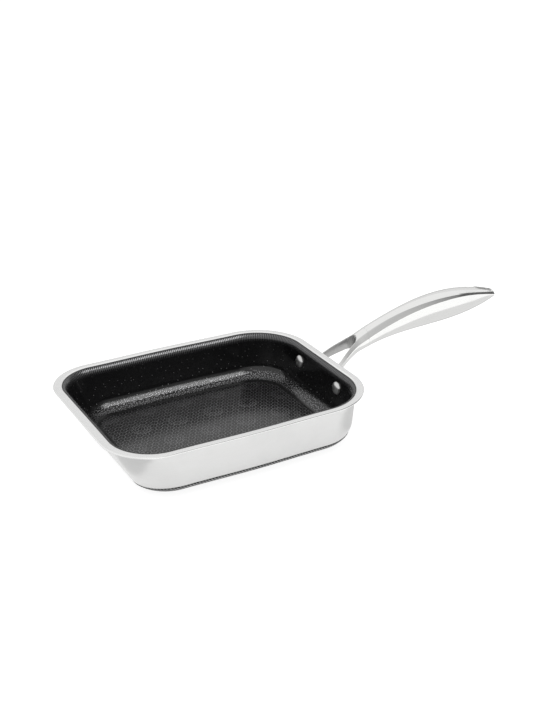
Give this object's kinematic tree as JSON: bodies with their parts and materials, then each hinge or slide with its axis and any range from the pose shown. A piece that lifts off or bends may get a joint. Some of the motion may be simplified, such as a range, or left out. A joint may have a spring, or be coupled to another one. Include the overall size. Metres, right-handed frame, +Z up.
{
  "type": "egg pan",
  "caption": "Rectangular egg pan: a pressed three-ply steel tray with a sloped front wall, a black non-stick lining and a hollow steel handle with a riveted forked neck.",
  "frame": {"origin": "on the underside of the base, below the middle of the rim's rectangle", "axes": "+X from the tray towards the handle's tip, +Z up out of the tray, +Y completes a right-handed frame"},
  "size_m": [0.336, 0.1484, 0.0684],
  "materials": {
    "tray_steel": "satin stainless steel",
    "handle_steel": "polished stainless steel",
    "rivet_steel": "polished stainless steel",
    "core": "plain rolled sheet, closed in between the steel plies",
    "lining": "black fluoropolymer lining with a fine grey relief pattern",
    "base_pattern": "dark grey hatched base coat"
  },
  "bodies": {
    "root": {"nonstick_coating": "lining", "inner_steel_ply": "tray_steel", "aluminium_core": "core", "outer_steel_ply": "tray_steel", "base_coating": "base_pattern", "mounting_flange": "tray_steel", "rivet_far": "rivet_steel", "rivet_near": "rivet_steel", "handle_fork": "handle_steel", "grip_upper_shell": "handle_steel", "grip_lower_shell": "handle_steel", "hang_hole_liner": "handle_steel"}
  },
  "joints": []
}
